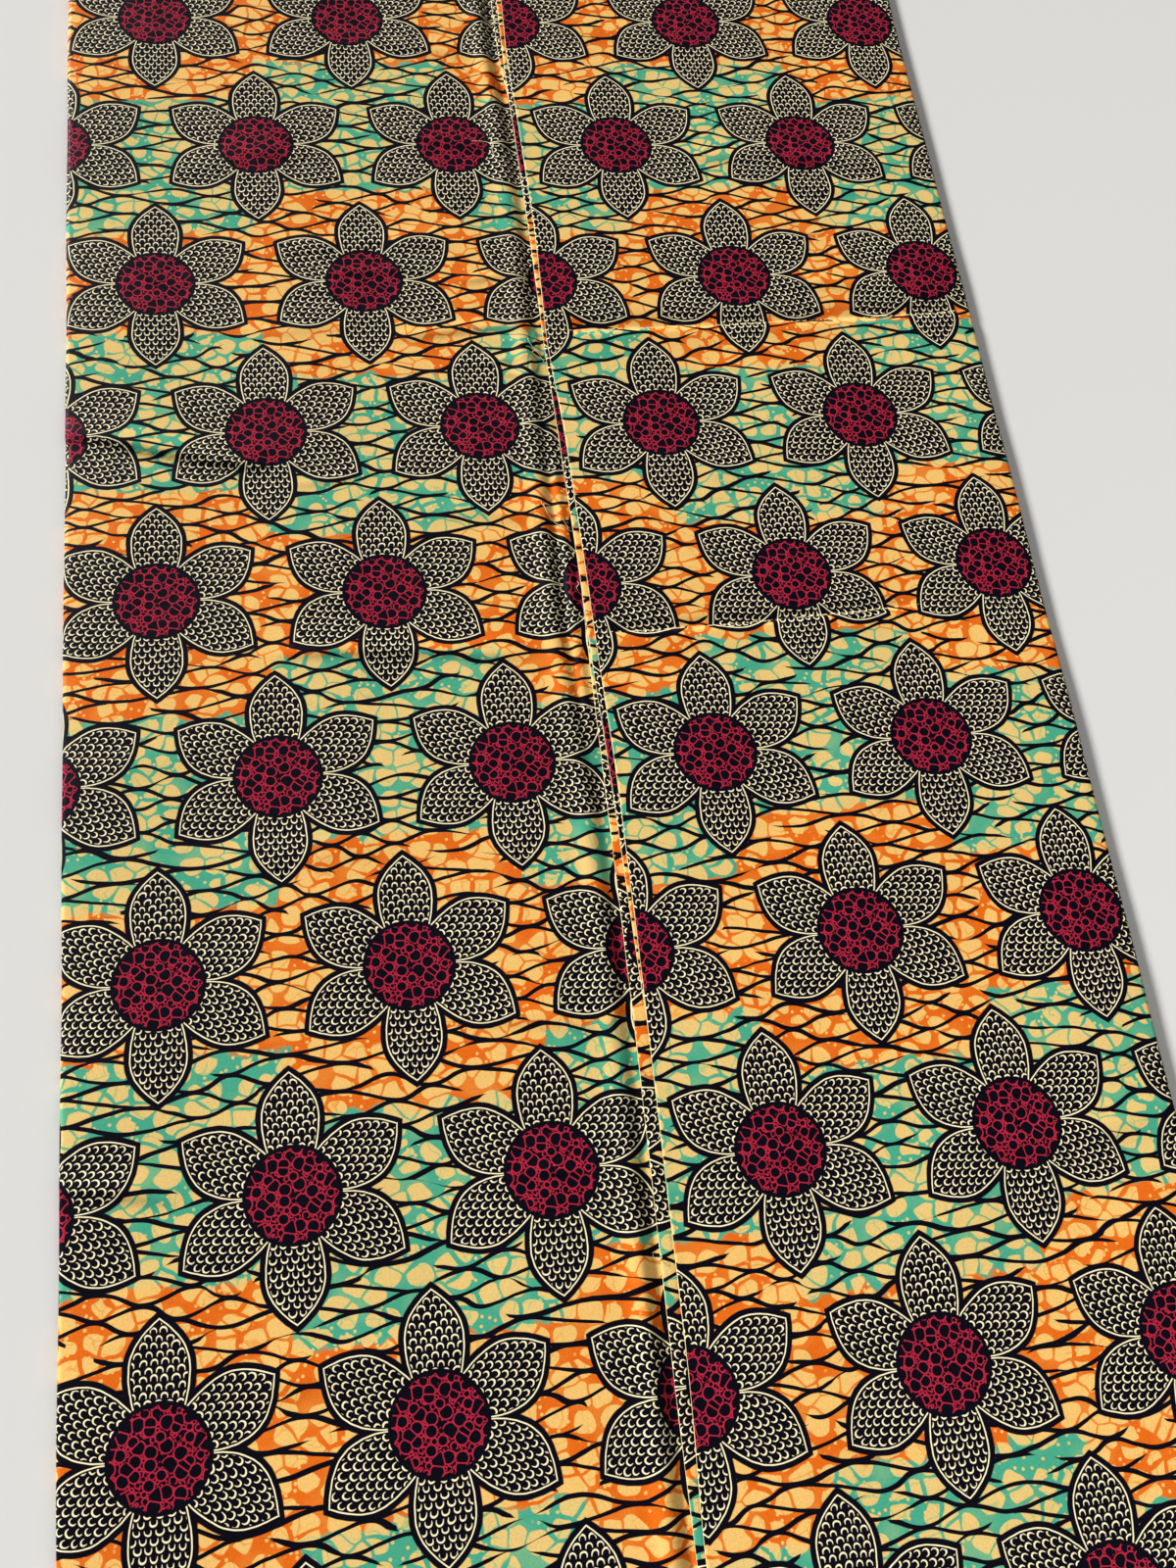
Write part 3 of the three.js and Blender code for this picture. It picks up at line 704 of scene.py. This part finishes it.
def rubbed_and_highlit_line(tree, cut, wander, start, end, bow):
    """A pale line along a sharp crease: in part wear, where rubbing takes the print off, and in part a
    painted highlight of the crease. It is a thin, broken line on the cut cloth from start to end, bowed like
    its crease."""
    run = np.subtract(end, start)
    length = float(np.hypot(*run))
    ahead = (*(run / length), 0.0)
    from_start = add(tree, "VectorMath", [cut, (*start, 0.0)], operation="SUBTRACT")
    reach = add(tree, "VectorMath", [from_start, ahead], out=1, operation="DOT_PRODUCT")
    aside = add(tree, "VectorMath", [from_start, (-ahead[1], ahead[0], 0.0)], out=1, operation="DOT_PRODUCT")
    share = add(tree, "Math", [reach, 1 / length], operation="MULTIPLY")
    rest = add(tree, "Math", [1.0, share], operation="SUBTRACT")
    parabola = add(tree, "Math", [share, rest], operation="MULTIPLY")
    straight = add(tree, "Math", [parabola, 4 * bow, aside], operation="MULTIPLY_ADD")
    stray = add(tree, "SeparateXYZ", [wander])
    place = add(tree, "Math", [stray, RUB_HIGHLIGHT_WANDER, straight], operation="MULTIPLY_ADD")
    off_line = add(tree, "Math", [place], operation="ABSOLUTE")
    line = add(tree, "MapRange", [off_line, *RUB_HIGHLIGHT_EDGE], **SMOOTH)
    within = add(tree, "MapRange", [parabola, 0.0, RUB_HIGHLIGHT_FADE], **SMOOTH)
    grain = add(tree, "TexNoise", {"Vector": cut, "Scale": RUB_HIGHLIGHT_SPOTS, "Detail": 1.0}, noise_dimensions="2D")
    patches = add(tree, "MapRange", [grain, *RUB_HIGHLIGHT_LEVELS], **SMOOTH)
    worn_and_highlit = add(tree, "Math", [patches, within], operation="MULTIPLY")
    return add(tree, "Math", [line, worn_and_highlit], operation="MULTIPLY")


def ground_colour(tree, clean, wander):
    """The crackled ground in its two dyes, crossed by the navy lines."""
    bent = add(tree, "VectorMath", [wander, ZONE_BEND, clean], operation="MULTIPLY_ADD")
    green = zones(tree, bent)
    pale, vein, level = crackle(tree, clean, wander)
    gold = add(tree, "MixRGB", [green, GOLD, GOLD_IN_GREEN])
    dye = add(tree, "MixRGB", [green, ORANGE, GREEN])
    faint = add(tree, "MixRGB", [green, ORANGE_VEIN, GREEN_VEIN])
    weak = add(tree, "MapRange", [level, *WEAK_LEVELS, WEAKEST, 0.0])
    dye = add(tree, "MixRGB", [weak, dye, faint])
    veined = add(tree, "Math", [vein, VEIN_STRENGTH], operation="MULTIPLY")
    gold = add(tree, "MixRGB", [veined, gold, faint])
    ground = add(tree, "MixRGB", [pale, dye, gold])
    return add(tree, "MixRGB", [waves(tree, clean, wander), ground, NAVY])


def with_flowers(tree, point, hand, ground):
    """The ground with the flowers on it: dark petals with a cream line and cream arches, and a disc."""
    offset, radius = nearest_flower(tree, point)
    out_along, across, outline = petal(tree, offset, radius)
    shown = add(tree, "MapRange", [outline, BLUR["petal"], -BLUR["petal"]], **SMOOTH)
    outer, inner = -OUTLINE, -OUTLINE - CREAM_LINE
    line_from = add(tree, "MapRange", [outline, outer + BLUR["line"], outer - BLUR["line"]], **SMOOTH)
    line_to = add(tree, "MapRange", [outline, inner - BLUR["line"], inner + BLUR["line"]], **SMOOTH)
    line = add(tree, "Math", [line_from, line_to], operation="MULTIPLY")
    spots = arches(tree, out_along, across, add(tree, "SeparateXYZ", [hand]))
    field = add(tree, "MapRange", [outline, inner - ARCH_FIELD[0], inner - ARCH_FIELD[1]], **SMOOTH)
    arched = add(tree, "Math", [spots, field], operation="MULTIPLY")
    marks = add(tree, "Math", [arched, line], operation="MAXIMUM")
    flower = add(tree, "MixRGB", [marks, NAVY, CREAM])
    colour = add(tree, "MixRGB", [shown, ground, flower])
    in_disc = add(tree, "MapRange", [radius, DISC + BLUR["disc"], DISC - BLUR["disc"]], **SMOOTH)
    disc = add(tree, "MixRGB", [disc_net(tree, offset, radius), NAVY, CRIMSON])
    return add(tree, "MixRGB", [in_disc, colour, disc])


WEAVE = 0.9 * MM  # the threads are 0.4 mm apart, too fine to show from a step away, and drawn larger
WEAVE_TONE, WEAVE_RISE = 0.03, 0.04  # what the weave adds to the noise of its tone and of its height
SLUBS, WRINKLES = 900.0, 60.0  # features a metre
NOISE_LEVELS = (0.3, 0.7)
SHADES = (0.93, 1.05)
ROUGHNESS = (0.5, 0.62)
RELIEF, RELIEF_HEIGHT = 0.35, 0.6 * MM


def wax_cotton(name, rubbed_and_highlit=()):
    """Plain-woven cotton, printed with dye round hand-blocked wax and calendered: matt, with a faint wax
    gloss on the crowns of its folds. All of its pattern is measured on the cut cloth. The creases passed in
    give the start, end and bow of each crease along which a pale line is painted. That line is print rubbing
    away there, and also a painted highlight of the crease."""
    material, tree = new_material(name)
    cut = add(tree, "UVMap", uv_map="cut")
    clean = add(tree, "VectorMath", [cut, (1 / REPEAT, 1 / REPEAT, 0.0)], operation="MULTIPLY")
    uneven = {"Vector": clean, "Scale": HAND, "Detail": 1.0}
    hand = add(tree, "TexNoise", uneven, out=1, noise_dimensions="2D")
    wander = add(tree, "VectorMath", [hand, HALF], operation="SUBTRACT")
    fine = {"Vector": clean, "Scale": TREMOR[0], "Detail": 0.0}
    tremor = add(tree, "TexNoise", fine, out=1, noise_dimensions="2D")
    centred = add(tree, "VectorMath", [tremor, HALF], operation="SUBTRACT")
    moved = (TREMOR[1], TREMOR[1], 0.0)
    point = add(tree, "VectorMath", [centred, moved, clean], operation="MULTIPLY_ADD")
    colour = with_flowers(tree, point, hand, ground_colour(tree, clean, wander))

    # A pale line along each given crease: part print rubbing away, part painted highlight of the crease.
    for start, end, bow in rubbed_and_highlit:
        worn_and_highlit = rubbed_and_highlit_line(tree, cut, wander, start, end, bow)
        share = add(tree, "Math", [worn_and_highlit, RUB_HIGHLIGHT_STRENGTH], operation="MULTIPLY")
        colour = add(tree, "MixRGB", [share, colour, BARE_AND_HIGHLIGHT_CREAM])
    from_selvedge = add(tree, "Attribute", out=2, attribute_name="selvedge")
    unevenness = add(tree, "SeparateXYZ", [hand], out=1)
    uneven_edge = add(tree, "Math", [unevenness, BARE_EDGE[0]], operation="MULTIPLY")
    past = add(tree, "Math", [from_selvedge, uneven_edge], operation="SUBTRACT")
    bare = add(tree, "MapRange", [past, BARE_EDGE[1], -BARE_EDGE[1]], **SMOOTH)
    colour = add(tree, "MixRGB", [bare, colour, BARE_AND_HIGHLIGHT_CREAM])

    threads = []
    for i in (0, 1):
        place = add(tree, "SeparateXYZ", [cut], out=i)
        phase = add(tree, "Math", [place, 2 * math.pi / WEAVE], operation="MULTIPLY")
        threads.append(add(tree, "Math", [phase], operation="SINE"))
    weave = add(tree, "Math", threads, operation="MULTIPLY")
    slub = add(tree, "TexNoise", {"Vector": cut, "Scale": SLUBS, "Detail": 1.0}, noise_dimensions="2D")
    tone = add(tree, "Math", [weave, WEAVE_TONE, slub], operation="MULTIPLY_ADD")
    shade = add(tree, "MapRange", [tone, *NOISE_LEVELS, *SHADES])
    grey = add(tree, "CombineXYZ", [shade] * 3)
    colour = add(tree, "MixRGB", [1.0, colour, grey], blend_type="MULTIPLY")

    wrinkle = add(tree, "TexNoise", {"Vector": cut, "Scale": WRINKLES, "Detail": 3.0}, noise_dimensions="2D")
    height = add(tree, "Math", [weave, WEAVE_RISE, wrinkle], operation="MULTIPLY_ADD")
    surface = {
        "Base Color": colour,
        "Roughness": add(tree, "MapRange", [wrinkle, *NOISE_LEVELS, *ROUGHNESS]),
        "IOR": 1.47,
        "Specular IOR Level": 0.1,
        "Normal": add(tree, "Bump", {"Strength": RELIEF, "Distance": RELIEF_HEIGHT, "Height": height}),
    }
    add(tree, "OutputMaterial", {"Surface": add(tree, "BsdfPrincipled", surface)})
    return material


def plain_floor():
    """A pale, matt studio floor."""
    material, tree = new_material("studio_floor_paint")
    paint = add(tree, "BsdfPrincipled", {"Base Color": linear("#d4d3d0"), "Roughness": 0.8})
    add(tree, "OutputMaterial", {"Surface": paint})
    return material


# ---- The layers of cloth ----

# y of the far and near ends of each layer, in metres. At the far end the top layer folds over onto the
# second one, and at the near end the second one folds over onto the third.
ENDS = {
    "left": (0.911, -0.907),
    "right": (0.904, -0.912),
    "second": (0.9034, -0.909),
    "third": (0.905, -0.9084),
}
LIFT, LIFT_REACH = 0.25 * MM, 2.5 * MM  # of the right half's selvedge, off what it lies on
DRAW_FROM = 0.75 * FOLD_CENTRE  # x beyond which a half follows its side fold in and out
FOLD_STEPS = 12


def half_circle(radius, steps=FOLD_STEPS):
    """Places round a side fold, from its top: offsets outwards and upwards from its axis, and the length
    of cloth on the way."""
    angle = np.pi * np.arange(1, steps + 1) / steps
    return radius * np.sin(angle), radius * np.cos(angle), radius * angle


def half_sheet(name, side, spans, edge_at, material):
    """One half of the top layer. Across, it runs from its selvedge over the top, round the side fold on
    a half circle and in under it as a lip. Its height is the flat level plus relief, and that fades out
    round the fold."""
    half = "left" if side < 0 else "right"
    far_end, near_end = ENDS[half]
    y_rows = close_rows(half, near_end, far_end)
    fold_out, fold_up, fold_run = half_circle(FOLD_RADIUS)

    y, distance = grid(y_rows, stations(spans))
    edge = edge_at(y)
    x = edge + side * distance * np.where(distance > 0, (FOLD_CENTRE - side * edge) / FOLD_CENTRE, 1.0)
    beside_join = ripple(np.maximum(distance, 0), y) if side < 0 else LIFT * np.exp(-distance / LIFT_REACH)
    lift = relief(half, x, y) + beside_join
    drawn = side_wave(side, y) * smooth(DRAW_FROM, FOLD_CENTRE, np.abs(x))
    flat = np.stack([x - side * drawn, y, TOP + lift], -1)

    y_fold, i = grid(y_rows, np.arange(len(fold_out)))
    fade = 1 - (i + 1) / len(fold_out)
    fold_lift = relief(half, side * FOLD_CENTRE, y_fold) * fade
    axis = FOLD_CENTRE - side_wave(side, y_fold)
    fold = np.stack([side * (axis + fold_out[i]), y_fold, FOLD_RADIUS + fold_up[i] + fold_lift], -1)
    y_lip, reach = grid(y_rows, [0.5 * LIP, LIP])
    lip = np.stack([side * (FOLD_CENTRE - side_wave(side, y_lip) - reach), y_lip, np.zeros_like(y_lip)], -1)

    points = np.concatenate([flat, fold, lip], axis=1)
    past_fold = FOLD_CENTRE + fold_run[-1] + reach
    run = np.concatenate([x, side * (FOLD_CENTRE + fold_run[i]), side * past_fold], axis=1)
    from_edge = np.abs(run - edge_at(points[..., 1])) if side > 0 else np.ones_like(run)
    points, run, along, from_edge = rolled(points, run, from_edge, -1, side, ENDS["second"][0])
    return sheet(name, points, print_place(half, run, along), from_edge, material, flip=side < 0)


INNER_ROWS = 320
INNER_SPANS = [(0, 1.5 * MM), (12 * MM, 4 * MM), (24 * MM, 30 * MM), (FOLD_CENTRE, 1)]
INNER_SWAY = 0.12 * MM
DROOP_REACH = 10 * MM  # from the selvedge
SAG_REACH = (3 * MM, 22 * MM)  # distances from the selvedge between which the layer sinks
SAG_END = 30 * MM  # from the side fold, where it comes up again


def inner_sheet(name, layer, radius, droop, end, back_to, material):
    """A layer inside the top one, selvedge to selvedge: from the join to the right and round the side
    fold, back underneath, round the left side fold, and in over itself as far as the left half's room.
    Beside its selvedge it droops a little, by a smooth step."""
    far_end, near_end = ENDS[layer]
    y_rows = np.linspace(near_end, far_end, INNER_ROWS)
    fold_out, fold_up, fold_run = half_circle(radius, 8)
    turn = fold_run[-1]
    y, distance = grid(y_rows, stations(INNER_SPANS))
    edge = selvedge(layer, y)
    x_top = edge + distance * (FOLD_CENTRE - edge) / FOLD_CENTRE
    sway = INNER_SWAY * bent_wave(y, 17 * MM, y, 50 * MM, 3)
    sunk = SAG * smooth(*SAG_REACH, distance) * (1 - smooth(FOLD_CENTRE - SAG_END, FOLD_CENTRE, x_top))
    z_top = FOLD_RADIUS + radius - (droop + sway) * (1 - smooth(0, DROOP_REACH, distance)) - sunk
    y_side, i = grid(y_rows, np.arange(len(fold_out)))
    y_back, x_back = grid(y_rows, np.linspace(FOLD_CENTRE, -FOLD_CENTRE, 12)[1:])
    y_left, x_left = grid(y_rows, np.linspace(-FOLD_CENTRE, INNER_END, 8)[1:])
    columns = [
        (x_top, z_top, x_top, y),
        (FOLD_CENTRE + fold_out[i], FOLD_RADIUS + fold_up[i], FOLD_CENTRE + fold_run[i], y_side),
        (x_back, np.full_like(x_back, FOLD_RADIUS - radius), 2 * FOLD_CENTRE + turn - x_back, y_back),
        (-FOLD_CENTRE - fold_out[i], FOLD_RADIUS - fold_up[i], 3 * FOLD_CENTRE + turn + fold_run[i], y_side),
        (x_left, np.full_like(x_left, FOLD_RADIUS + radius), 4 * FOLD_CENTRE + 2 * turn + x_left, y_left),
    ]
    points = np.concatenate([np.stack([x, rows, z], -1) for x, z, _, rows in columns], axis=1)
    run = np.concatenate([run for _, _, run, _ in columns], axis=1)
    from_edge = run - selvedge(layer, points[..., 1])
    along = points[..., 1]
    if end is not None:
        points, run, along, from_edge = rolled(points, run, from_edge, end, 1, back_to)
    return sheet(name, points, print_place(layer, run, along), from_edge, material)


RUBBED_AND_HIGHLIT = (0, 2)  # rows of the right half's creases that carry the pale line: print rubbing away, and a painted highlight of the crease
rubbed_and_highlit = []
for x0, y0, x1, y1, bow, *_ in (CREASES["right"][row] for row in RUBBED_AND_HIGHLIT):
    start, end = print_place("right", np.array([x0, x1]) * MM, np.array([y0, y1]) * MM).tolist()
    rubbed_and_highlit.append((start, end, bow * MM))
printed = {
    layer: wax_cotton(f"printed_cotton_{layer}", rubbed_and_highlit if layer == "right" else ())
    for layer in ("left", "right", "second", "third", "inner")
}

left_spans = [(-10 * MM, 5 * MM), (0, 1.35 * MM), (27 * MM, 3 * MM), (51 * MM, 6.2 * MM), (FOLD_CENTRE, 1)]
right_spans = [(0, 1.5 * MM), (9 * MM, 4.6 * MM), (FOLD_CENTRE, 1)]
left_half = half_sheet("left_half_cloth", -1, left_spans, lambda y: selvedge("third", y), printed["left"])
right_half = half_sheet("right_half_cloth", 1, right_spans, lambda y: selvedge("top", y), printed["right"])
second_layer = inner_sheet(
    "second_layer_cloth", "second", SECOND_RADIUS, 0.2 * MM, 0, ENDS["third"][1], printed["second"]
)
third_layer = inner_sheet("third_layer_cloth", "third", THIRD_RADIUS, 0.1 * MM, None, None, printed["third"])

# The back of the cloth, between the lips.
back_rows = np.linspace(HIDDEN_BOX[0][1], HIDDEN_BOX[1][1], 60)
BACK_GAP = 1.3 * MM  # from a lip to the back
back_edge = FOLD_CENTRE - LIP - BACK_GAP
y_back, x_back = grid(back_rows, np.linspace(back_edge, -back_edge, 24))
back_points = np.stack([x_back, y_back, np.zeros_like(x_back)], -1)
back_run = HALF_WIDTH + np.pi * FOLD_RADIUS + FOLD_CENTRE - x_back
back_cloth = sheet(
    "back_cloth", back_points, print_place("inner", back_run, y_back), np.ones_like(x_back), printed["inner"]
)

# ---- Loose threads ----
# Ends of thread that lie on the cloth beside the join, in millimetres: the places they pass through.

THREADS = (
    ((-28.0, 358.5), (-22.8, 357.6), (-17.6, 355.8), (-15.5, 350.6), (-6.9, 343.7)),
    ((-7.6, 195.0), (-5.8, 189.0), (-2.0, 184.0), (1.5, 178.0)),
    ((-6.0, 184.0), (-2.6, 186.5), (1.8, 185.0), (3.6, 181.0)),
    ((-12.2, 73.8), (-7.9, 68.0), (-2.4, 64.5), (0.7, 60.0), (3.9, 56.0)),
    ((-11.0, 72.0), (-8.4, 64.0), (-3.7, 58.6), (5.0, 54.0)),
    ((3.6, 19.5), (4.6, 17.5), (3.0, 15.2), (4.2, 13.0)),
    ((-2.0, -365.0), (-1.8, -368.5), (0.2, -369.0), (0.6, -366.0)),
)
THREAD_RADIUS = 0.17 * MM
THREAD_LIFT = 0.6 * MM  # how far the middle of a thread stands off the cloth
THREAD_STEPS, THREAD_SIDES = 30, 8
THREAD_TIP = (0.35, 8)  # share of the radius at the very end, and how fast it grows from there


def surface(x, y):
    """Height of the cloth at the places x, y beside the join."""
    left = TOP + relief("left", x, y) + ripple(np.maximum(selvedge("third", y) - x, 0), y)
    return np.where(x < selvedge("third", y), left, TOP + relief("right", x, y))


def thread_path(places):
    """A thread's axis: a polynomial through its places by length, lying on the cloth at both ends and
    lifted off it by a sine between."""
    places = np.array(places) * MM
    share = np.concatenate([[0], np.cumsum(np.hypot(*np.diff(places, axis=0).T))])
    share /= share[-1]
    t = np.linspace(0, 1, THREAD_STEPS)
    x, y = (np.polyval(np.polyfit(share, places[:, i], min(4, len(places) - 1)), t) for i in (0, 1))
    return np.stack([x, y, surface(x, y) + THREAD_RADIUS + THREAD_LIFT * np.sin(np.pi * t) ** 2], -1)


def thread_mesh(name, paths, material):
    """Round tubes along the paths. A tube's ring stands across its path, and its ends taper and are
    closed."""
    vertices, faces = [], []
    turn = 2 * np.pi * np.arange(THREAD_SIDES) / THREAD_SIDES
    for path in paths:
        ahead = np.gradient(path, axis=0)
        ahead /= np.linalg.norm(ahead, axis=1, keepdims=True)
        side = np.cross(ahead, (0.0, 0.0, 1.0))
        side /= np.linalg.norm(side, axis=1, keepdims=True)
        over = np.cross(side, ahead)
        share = np.linspace(0, 1, len(path))
        radius = THREAD_RADIUS * np.minimum(1.0, THREAD_TIP[0] + THREAD_TIP[1] * np.sin(np.pi * share))
        around = side[:, None] * np.cos(turn)[:, None] + over[:, None] * np.sin(turn)[:, None]
        first = sum(len(rings) for rings in vertices)
        vertices.append((path[:, None] + around * radius[:, None, None]).reshape(-1, 3))
        index = first + np.arange(len(path) * THREAD_SIDES).reshape(len(path), THREAD_SIDES)
        beside = np.roll(index, -1, axis=1)
        faces += np.stack([index[:-1], beside[:-1], beside[1:], index[1:]], -1).reshape(-1, 4).tolist()
        faces += [index[0, ::-1].tolist(), index[-1].tolist()]
    mesh = bpy.data.meshes.new(name)
    mesh.from_pydata(np.concatenate(vertices), [], faces)
    mesh.polygons.foreach_set("use_smooth", np.ones(len(faces), dtype=bool))
    mesh.update()
    piece = bpy.data.objects.new(name, mesh)
    bpy.context.collection.objects.link(piece)
    piece.data.materials.append(material)
    return piece


YARN_DARK, YARN_PALE = linear("#e6d9b6"), linear("#f7f0dc")
FIBRES = 2500.0  # features a metre
TWIST = 0.9 * MM  # from one turn of the twist to the next, along the thread's slant


def cotton_thread():
    """Loose two-ply cotton thread from the weave's edge: undyed, with the twist as a fine slanted bump."""
    material, tree = new_material("cotton_thread")
    place = add(tree, "TexCoord", out=3)
    fibre = add(tree, "TexNoise", {"Vector": place, "Scale": FIBRES, "Detail": 1.0})
    colour = add(tree, "MixRGB", [fibre, YARN_DARK, YARN_PALE])
    slant = add(tree, "VectorMath", [place, (1.0, 1.0, 1.0)], out=1, operation="DOT_PRODUCT")
    phase = add(tree, "Math", [slant, 2 * math.pi / TWIST], operation="MULTIPLY")
    twist = add(tree, "Math", [phase], operation="SINE")
    yarn = {
        "Base Color": colour,
        "Roughness": 0.75,
        "Normal": add(tree, "Bump", {"Strength": 0.5, "Distance": 0.1 * MM, "Height": twist}),
    }
    add(tree, "OutputMaterial", {"Surface": add(tree, "BsdfPrincipled", yarn)})
    return material


threads = thread_mesh("loose_threads", [thread_path(places) for places in THREADS], cotton_thread())

# ---- Camera, light and floor ----

CAMERA_PLACE = (-0.1223, -0.4041, 0.7730)
CAMERA_TURN = (21.566, -6.018, -6.872)  # degrees about X, Y and Z
CAMERA_LENS = 33.75  # mm, on a frame 36 mm high

camera_data = bpy.data.cameras.new("camera")
camera_data.lens = CAMERA_LENS
camera_data.sensor_width = 36.0
camera = bpy.data.objects.new("camera", camera_data)
camera.location = CAMERA_PLACE
camera.rotation_euler = [math.radians(angle) for angle in CAMERA_TURN]
bpy.context.collection.objects.link(camera)
bpy.context.scene.camera = camera
bpy.context.scene.view_settings.view_transform = "Standard"
bpy.context.scene.view_settings.look = "Medium High Contrast"


def softbox(name, place, aim, size, power):
    """A square area light that faces the place it is aimed at."""
    data = bpy.data.lights.new(name, "AREA")
    data.size = size
    data.energy = power
    lamp = bpy.data.objects.new(name, data)
    lamp.location = place
    direction = np.array(aim) - np.array(place)
    lamp.rotation_euler = (
        math.atan2(math.hypot(direction[0], direction[1]), -direction[2]),
        0.0,
        math.atan2(-direction[0], direction[1]),
    )
    bpy.context.collection.objects.link(lamp)


# Daylight comes in low from beyond the far end and the left, so that a fold's near side and its right
# side are dark. It is broad enough for soft shadows.
daylight = bpy.data.lights.new("daylight", "SUN")
daylight.energy = 5.15
daylight.angle = math.radians(10)
window = bpy.data.objects.new("daylight", daylight)
window.rotation_euler = [math.radians(angle) for angle in (-68, 0, 42)]
bpy.context.collection.objects.link(window)
softbox("near_fill", place=(0.8, -1.6, 1.4), aim=(0.1, -0.4, 0), size=1.6, power=10)

world = bpy.data.worlds.new("studio")
world.use_nodes = True
world.node_tree.nodes["Background"].inputs["Color"].default_value = (1, 1, 1, 1)
world.node_tree.nodes["Background"].inputs["Strength"].default_value = 0.22
bpy.context.scene.world = world

FLOOR = 4.0  # half the floor's side, in metres; it lies 1 mm under the cloth
floor_mesh = bpy.data.meshes.new("studio_floor")
floor_corners = [(x, y, -MM) for x, y in ((-FLOOR, -FLOOR), (FLOOR, -FLOOR), (FLOOR, FLOOR), (-FLOOR, FLOOR))]
floor_mesh.from_pydata(floor_corners, [], [(0, 1, 2, 3)])
floor = bpy.data.objects.new("studio_floor", floor_mesh)
floor.data.materials.append(plain_floor())
bpy.context.collection.objects.link(floor)

length = LEFT_BOX[1][1] - LEFT_BOX[0][1]
for piece, node, slot, flat in (
    (left_half, "front_left_half", "left", (0.31, length)),
    (right_half, "front_right_half", "right", (0.30, length)),
    (second_layer, "second_layer_selvedge", "second", (1.17, length)),
    (third_layer, "third_layer_selvedge", "third", (1.17, length)),
    (back_cloth, "hidden_layers", "inner", (0.57, length)),
):
    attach(piece, "root")
    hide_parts(node)

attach(threads, "root")
